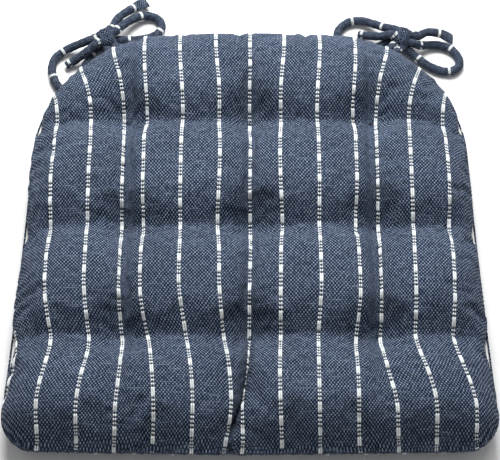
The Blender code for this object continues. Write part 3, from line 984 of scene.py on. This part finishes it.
def swellCovers(top, bottom):
    # both covers as one closed cloth, blown up a little while tufts, seam and creases hold it
    step = swell["stride"]
    upper, lower = top[::step, ::step], bottom[::step, ::step]
    size = upper.shape[0]
    rim = np.zeros((size, size), bool)
    rim[0], rim[-1], rim[:, 0], rim[:, -1] = True, True, True, True
    upperNumber = np.arange(size * size).reshape(size, size)
    lowerNumber = np.where(rim, upperNumber, 0)
    lowerNumber[~rim] = size * size + np.arange((~rim).sum())
    corners = ((0, 0), (1, 0), (1, 1), (0, 1))
    faces = []
    for j in range(size - 1):
        for i in range(size - 1):
            faces.append([int(upperNumber[j + q, i + p]) for p, q in corners])
            faces.append([int(lowerNumber[j + q, i + p]) for p, q in reversed(corners)])
    points = np.vstack([upper.reshape(-1, 3), lower[~rim]])
    mesh = bpy.data.meshes.new("swellingCloth")
    mesh.from_pydata(points.tolist(), [], faces)
    body = newObject("swellingCloth", mesh)
    hold = body.vertex_groups.new(name="held")
    fromTuft = np.linalg.norm(points[:, None, :2] - tuftPlaces, axis=-1).min(1)
    fromRow = np.min([np.abs(points[:, 1] - row) for row in rows], axis=0)
    fromCleft = np.abs(points[:, 0] - cleftPath(points[:, 1])) + 9.0 * (points[:, 1] > rows[0])
    fromColumn = np.min([np.abs(points[:, 0] - column) for column in columns], axis=0)
    aways = (fromTuft, fromRow, fromColumn, fromCleft)
    holds = [most * hump(away, reach) for away, (most, reach) in zip(aways, swell["grips"])]
    grip = np.max(holds, axis=0)
    grip[: size * size][rim.ravel()] = 1.0
    grip[size * size:] = np.maximum(grip[size * size:], 0.8)
    for number, weight in enumerate(grip):
        hold.add([number], float(min(1.0, weight)), "REPLACE")
    blown = body.modifiers.new("swelling", "CLOTH")
    settings = blown.settings
    for name, value in swell["cloth"].items():
        setattr(settings, name, value)
    settings.vertex_group_mass = "held"
    settings.effector_weights.gravity = 0.0
    blown.collision_settings.use_collision = False
    blown.collision_settings.use_self_collision = False
    blown.point_cache.frame_start = 1
    blown.point_cache.frame_end = swell["frames"]
    scene = bpy.context.scene
    for number in range(1, swell["frames"] + 1):
        scene.frame_set(number)
    shown = body.evaluated_get(bpy.context.evaluated_depsgraph_get())
    after = np.zeros(len(points) * 3)
    shown.data.vertices.foreach_get("co", after)
    move = after.reshape(-1, 3) - points
    scene.frame_set(1)
    body.modifiers.clear()
    bpy.data.objects.remove(body)
    far = np.linalg.norm(move, axis=1, keepdims=True)
    print("cloth swelled by up to", round(float(far.max()) * 1000, 1), "mm")
    move *= np.minimum(1.0, swell["mostMove"] / np.maximum(far, 1e-9))
    moves = []
    for number in (upperNumber, lowerNumber):
        fine = move[number]
        for axis in (0, 1):
            fine = finer(fine, axis)
        moves.append(fine)
    return moves


def finer(values, axis):
    # twice as many rows, with cubic steps between the known ones
    values = np.moveaxis(values, axis, 0)
    padded = np.concatenate([2 * values[:1] - values[1:2], values, 2 * values[-1:] - values[-2:-1]])
    made = np.zeros((2 * len(values) - 1, *values.shape[1:]))
    made[::2] = values
    made[1::2] = (9 * (padded[1:-2] + padded[2:-1]) - padded[:-3] - padded[3:]) / 16
    return np.moveaxis(made, 0, axis)


def flatPattern(points, rounds=900):
    # the cloth's own flat coordinates: a sheet whose threads keep their length over the surface
    flat = points[..., :2].copy()
    steps = [(0, 1, 1.0), (1, 0, 1.0), (1, 1, 0.5), (1, -1, 0.5)]
    pairs = []
    for down, side, weight in steps:
        first = (slice(0, -1 if down else None), slice(max(0, -side), -side if side > 0 else None))
        second = (slice(down, None), slice(max(0, side), side if side < 0 else None))
        long = np.linalg.norm(points[second] - points[first], axis=-1)
        pairs.append((first, second, long, weight))
    count = np.zeros(points.shape[:2])
    for first, second, _, weight in pairs:
        count[first] += weight
        count[second] += weight
    for _ in range(rounds):
        move = np.zeros_like(flat)
        for first, second, long, weight in pairs:
            apart = flat[second] - flat[first]
            size = np.maximum(np.linalg.norm(apart, axis=-1), 1e-9)
            push = apart * (weight * (1 - long / size) / 2)[..., None]
            move[first] += push
            move[second] -= push
        flat += move / count[..., None] * 1.7
    return flat


pleats = {
    "centre": 0.0045,  # cloth taken up beside a column of tufts
    "inner": 0.0120,
    "outer": 0.0036,
    "cleft": 0.0240,
    "slide": 0.0066,  # how far the cloth right of the cleft slides into it
    "width": 0.010,
    "front": 0.085,  # how far the pleats run beyond the first and last rows
    "back": 0.075,
    "leftAtBack": 0.2,
    "calming": 110,
}


def takenUp(surface):
    # cloth that the pleats along the columns and the cleft hide, counted from the middle outwards
    x, y = surface[..., 0], surface[..., 1]
    front = 1 - smoothStep(rows[0] - y, 0.0, pleats["front"])
    back = 1 - (1 - pleats["leftAtBack"]) * smoothStep(y - rows[-1], 0.0, pleats["back"])
    hold = front * back
    width = pleats["width"]
    reach = np.abs(x)
    column = columns[-1]
    total = pleats["centre"] * smoothStep(reach, 0.0, width) * hold
    total += pleats["inner"] * smoothStep(reach, column - width, column) * hold
    total += pleats["outer"] * smoothStep(reach, column, column + width) * hold
    aside = cleftPath(y) - x
    opened = smoothStep(rows[0] - y, -0.045, pleats["front"])
    hidden = (pleats["slide"] - pleats["cleft"] * smoothStep(aside, -0.001, 0.007)) * opened
    return np.sign(x) * total + hidden


def calmer(field, rounds):
    # a field with its small kinks smoothed away
    for _ in range(rounds):
        padded = np.pad(field, ((1, 1), (1, 1), (0, 0)), mode="reflect", reflect_type="odd")
        field = (padded[:-2, 1:-1] + padded[2:, 1:-1] + padded[1:-1, :-2] + padded[1:-1, 2:] + 2 * field) / 6
    return field


def gridFaces(rowsCount, columnsCount, flip=False, start=0):
    faces = []
    for j in range(rowsCount - 1):
        for i in range(columnsCount - 1):
            a = start + j * columnsCount + i
            b, c, d = a + 1, a + columnsCount + 1, a + columnsCount
            faces.append((a, d, c, b) if flip else (a, b, c, d))
    return faces


def borderLoop(data):
    # once round the rim of a grid, back to the start
    down, side = data.shape[0] - 1, data.shape[1] - 1
    return np.vstack([data[0, :side], data[:down, side], data[down, :0:-1], data[:0:-1, 0], data[:1, 0]])


def shell(name, outer, inner, material, flat, flip=False):
    # a closed layer between two grids of the same size
    height, width = outer.shape[:2]
    total = height * width
    faces = gridFaces(height, width, flip) + gridFaces(height, width, not flip, total)
    edge = borderLoop(np.arange(total).reshape(height, width, 1)).ravel().tolist()
    for a, b in zip(edge, edge[1:]):
        side = (b, a, a + total, b + total)
        faces.append(tuple(reversed(side)) if flip else side)
    points = np.vstack([outer.reshape(-1, 3), inner.reshape(-1, 3)])
    sheet = flat.reshape(-1, 2)
    return meshObject(name, points, faces, material, np.vstack([sheet, sheet]))


ring = padOutline()
plan = planGrid(ring, pad["cells"])
# the front edge draws in a little at the cleft
notch = hump(plan[..., 0] - cleft["drift"], cleft["notchReach"])
plan[..., 1] += cleft["notch"] * notch * smoothStep(-plan[..., 1], 0.16, 0.213)
distance = edgeDistance(plan.reshape(-1, 2), ring).reshape(plan.shape[:2])
for edgeLine in ((0, slice(None)), (-1, slice(None)), (slice(None), 0), (slice(None), -1)):
    distance[edgeLine] = 0.0
top = topSurface(plan, distance)
bottom = bottomSurface(plan, distance)
print("pad shape")
topMove, bottomMove = swellCovers(top, bottom)
top, bottom = top + topMove, bottom + bottomMove
bottom[..., 2] = np.maximum(bottom[..., 2], pad["stripeRoom"])
topFlat = flatPattern(top)
topFlat = top[..., :2] + calmer(topFlat - top[..., :2], pleats["calming"])
topFlat[..., 0] += takenUp(top)
bottomFlat = flatPattern(bottom)
print("cloth laid flat", np.ptp(topFlat[..., 0]).round(4), np.ptp(topFlat[..., 1]).round(4))

topNormal = gridNormals(top)
bottomNormal = -gridNormals(bottom)


def layer(surface, normal, depth):
    return surface - normal * depth


fills = {"stride": 2, "gap": 0.0003, "batting": 0.005, "least": 0.0004, "clear": 4, "radius": 0.2}


def fillPiece(name, upper, lower, material, slot, nodes):
    step = fills["stride"]
    upper, lower = upper[::step, ::step], lower[::step, ::step]
    piece = shell(name, upper, lower, material, upper[..., :2])
    settle(piece, "pad", slot, *nodes)


def hollowest(height, cells):
    # the lowest height within some cells of each place
    for _ in range(cells):
        edged = np.pad(height, 1, mode="edge")
        sides = (edged[:-2, 1:-1], edged[2:, 1:-1], edged[1:-1, :-2], edged[1:-1, 2:])
        height = np.minimum.reduce([height, *sides])
    return height


def makeFills():
    # two layers of batting round a foam core, each a little inside the last
    outside = pad["fabric"] + fills["gap"]
    inside = outside + fills["batting"]
    middle = (top[..., 2] + bottom[..., 2]) / 2
    sheets = []
    rolled = 1 - smoothStep(distance, 0.0, 0.04)
    for surface, sign in ((top, 1), (bottom, -1)):
        hollow = hollowest(surface[..., 2] * sign, fills["clear"])
        for depth, share in ((outside, 3), (inside, 1), (inside + fills["gap"], 0.5)):
            height = np.maximum(hollow - depth, middle * sign + fills["least"] * share)
            drawn = 1 - depth / fills["radius"] * rolled
            flat = surface[..., :2] * drawn[..., None]
            sheets.append(np.concatenate([flat, sign * height[..., None]], axis=-1))
    upperOut, upperIn, coreTop, lowerOut, lowerIn, coreBottom = sheets
    fillPiece("upper_batting", upperOut, upperIn, battingFibre, "batting_fibre", ["batting_top"])
    fillPiece("lower_batting", lowerIn, lowerOut, battingFibre, "batting_fibre", ["batting_bottom"])
    fillPiece("foam_pad", coreTop, coreBottom, coreFoam, "core_foam", ["foam_core"])


twine = {
    "Radius": 0.00055,
    "Twist": 900.0,  # turns of the plies, radians for each metre
    "Plies": 3,
}


def twineTree():
    # plied thread along each line of points
    tree, source, line = newTree("pliedTwine", twine)
    along = addNode(tree, "GeometryNodeSplineParameter", {})["Length"]
    turn = times(tree, along, source["Twist"])
    tilted = addNode(tree, "GeometryNodeSetCurveTilt", {0: line, "Tilt": turn})[0]
    inputs = {"Points": source["Plies"], "Inner Radius": 0.62, "Outer Radius": 1.0}
    star = addNode(tree, "GeometryNodeCurveStar", inputs)[0]
    skinTree(tree, source, tilted, source["Radius"], star)
    return tree


def plainLine(points):
    # a line of points in the form that growYarns takes
    return np.asarray(points, float), np.tile(up, (len(points), 1)), np.zeros(len(points))


def surfaceHeight(surface, x, y):
    apart = np.hypot(surface[..., 0] - x, surface[..., 1] - y)
    return surface[np.unravel_index(apart.argmin(), apart.shape)][2]


tuftStitch = {
    "half": 0.0032,
    "proud": 0.0007,
    "arch": (1.6, 3.0),  # how far the middle stands up and the ends dive
    "spread": 0.0008,
    "steps": 7,
    "lowest": 0.0006,
    "turn": 0.35,
    "strandSteps": 8,
}


def makeTufts(tree):
    # a strand right through the pad, caught on both faces by two short stitches
    for name, (middle, _) in tufts.items():
        crown = surfaceHeight(top, middle.x, middle.y)
        base = surfaceHeight(bottom, middle.x, middle.y)
        turns = np.linspace(-1.0, 1.0, tuftStitch["steps"])
        lean = tuftStitch["turn"] * math.sin(middle.x * 40 + middle.y * 70)
        lines = []
        for aside in (-tuftStitch["spread"], tuftStitch["spread"]):
            for level, way in ((crown, 1), (base, -1)):
                reach = turns * tuftStitch["half"]
                x = middle.x + reach * math.cos(lean) - aside * math.sin(lean)
                y = middle.y + reach * math.sin(lean) + aside * math.cos(lean)
                middleUp, endsDown = tuftStitch["arch"]
                arch = level + way * tuftStitch["proud"] * (middleUp - endsDown * turns**2)
                z = np.maximum(arch, tuftStitch["lowest"])
                lines.append(plainLine(np.stack([x, y, z], axis=1)))
        drop = np.linspace(base + 0.0004, crown - 0.0002, tuftStitch["strandSteps"])
        lines.append(plainLine([(middle.x, middle.y, height) for height in drop]))
        piece = growYarns(name + "_twine", lines, tree, tuftTwine, twine)
        settle(piece, "pad", "tuft_twine", name)


seam = {
    "pitch": 0.0042,
    "long": 0.0026,
    "rise": 0.8,
    "slant": 0.6,
    "proud": 0.00035,
    "arch": 2.4,
    "thread": 0.00032,
}


def makeSeam(tree):
    # small slanting stitches that close the two covers all the way round
    path = smoothLine(borderLoop(top)[:-1][::2], seam["pitch"], closed=True)[:-1]
    outwards = unit((path - path.mean(0)) * (1, 1, 0))
    onward = unit(np.roll(path, -1, axis=0) - path)
    lines = []
    for spot, out, ahead in zip(path, outwards, onward):
        turns = np.linspace(-1.0, 1.0, 5)[:, None]
        slant = up * seam["rise"] + ahead * seam["slant"]
        arch = out * seam["proud"] * (1 - seam["arch"] * turns**2)
        lines.append(plainLine(spot + turns * slant * seam["long"] / 2 + arch))
    piece = growYarns("seam_stitches", lines, tree, seamThread, {**twine, "Radius": seam["thread"]})
    settle(piece, "pad", "sewing_thread", "seam_thread")


topCover = shell("top_cover", top, layer(top, topNormal, pad["fabric"]), coverCloth, topFlat)
bottomCover = shell(
    "bottom_cover", bottom, layer(bottom, bottomNormal, pad["fabric"]), coverCloth, bottomFlat, flip=True
)


def stripeLines(points, normals, flat, trim=0):
    data = np.concatenate([flat, points, normals], axis=-1)
    loop = borderLoop(data)
    found = []
    for number in range(-stripes["count"], stripes["count"] + 1):
        at = number * stripes["pitch"]
        ends = []
        for a, b in zip(loop, loop[1:]):
            if (a[0] - at) * (b[0] - at) < 0:
                ends.append(a + (b - a) * (at - a[0]) / (b[0] - a[0]))
        line = []
        for row in data[1:-1]:
            if row[:, 0].min() < at < row[:, 0].max():
                line.append([np.interp(at, row[:, 0], row[:, k]) for k in range(8)])
        if len(line) < 6 or len(ends) < 2:
            continue
        line = np.array(line)
        ends = sorted(ends, key=lambda end: end[1])
        inside = (line[:, 1] > ends[0][1] + 0.0005) & (line[:, 1] < ends[-1][1] - 0.0005)
        line = np.vstack([ends[0], line[inside], ends[-1]])[trim:, 2:]
        line = line[: len(line) - trim]
        found += yarnPair(line[:, :3], line[:, 3:], stripes["apart"], (number % 2) * 12 + (number * 5) % 3)
    return found


topStripes = growYarns("top_stripes", stripeLines(top, topNormal, topFlat), yarnFloats, stripeYarn)
bottomLines = stripeLines(bottom, bottomNormal, bottomFlat, 2)
bottomStripes = growYarns("bottom_stripes", bottomLines, yarnFloats, stripeYarn, thinYarn)
print("stripes", len(topStripes.data.polygons))

settle(topCover, "pad", "cover_fabric", "cover_top")
settle(bottomCover, "pad", "cover_fabric", "cover_bottom")
settle(topStripes, "pad", "cover_fabric")
settle(bottomStripes, "pad", "cover_fabric")
makeFills()
print("batting and foam")
pliedTwine = twineTree()
makeTufts(pliedTwine)
makeSeam(pliedTwine)
print("twine and seam")

print("done")
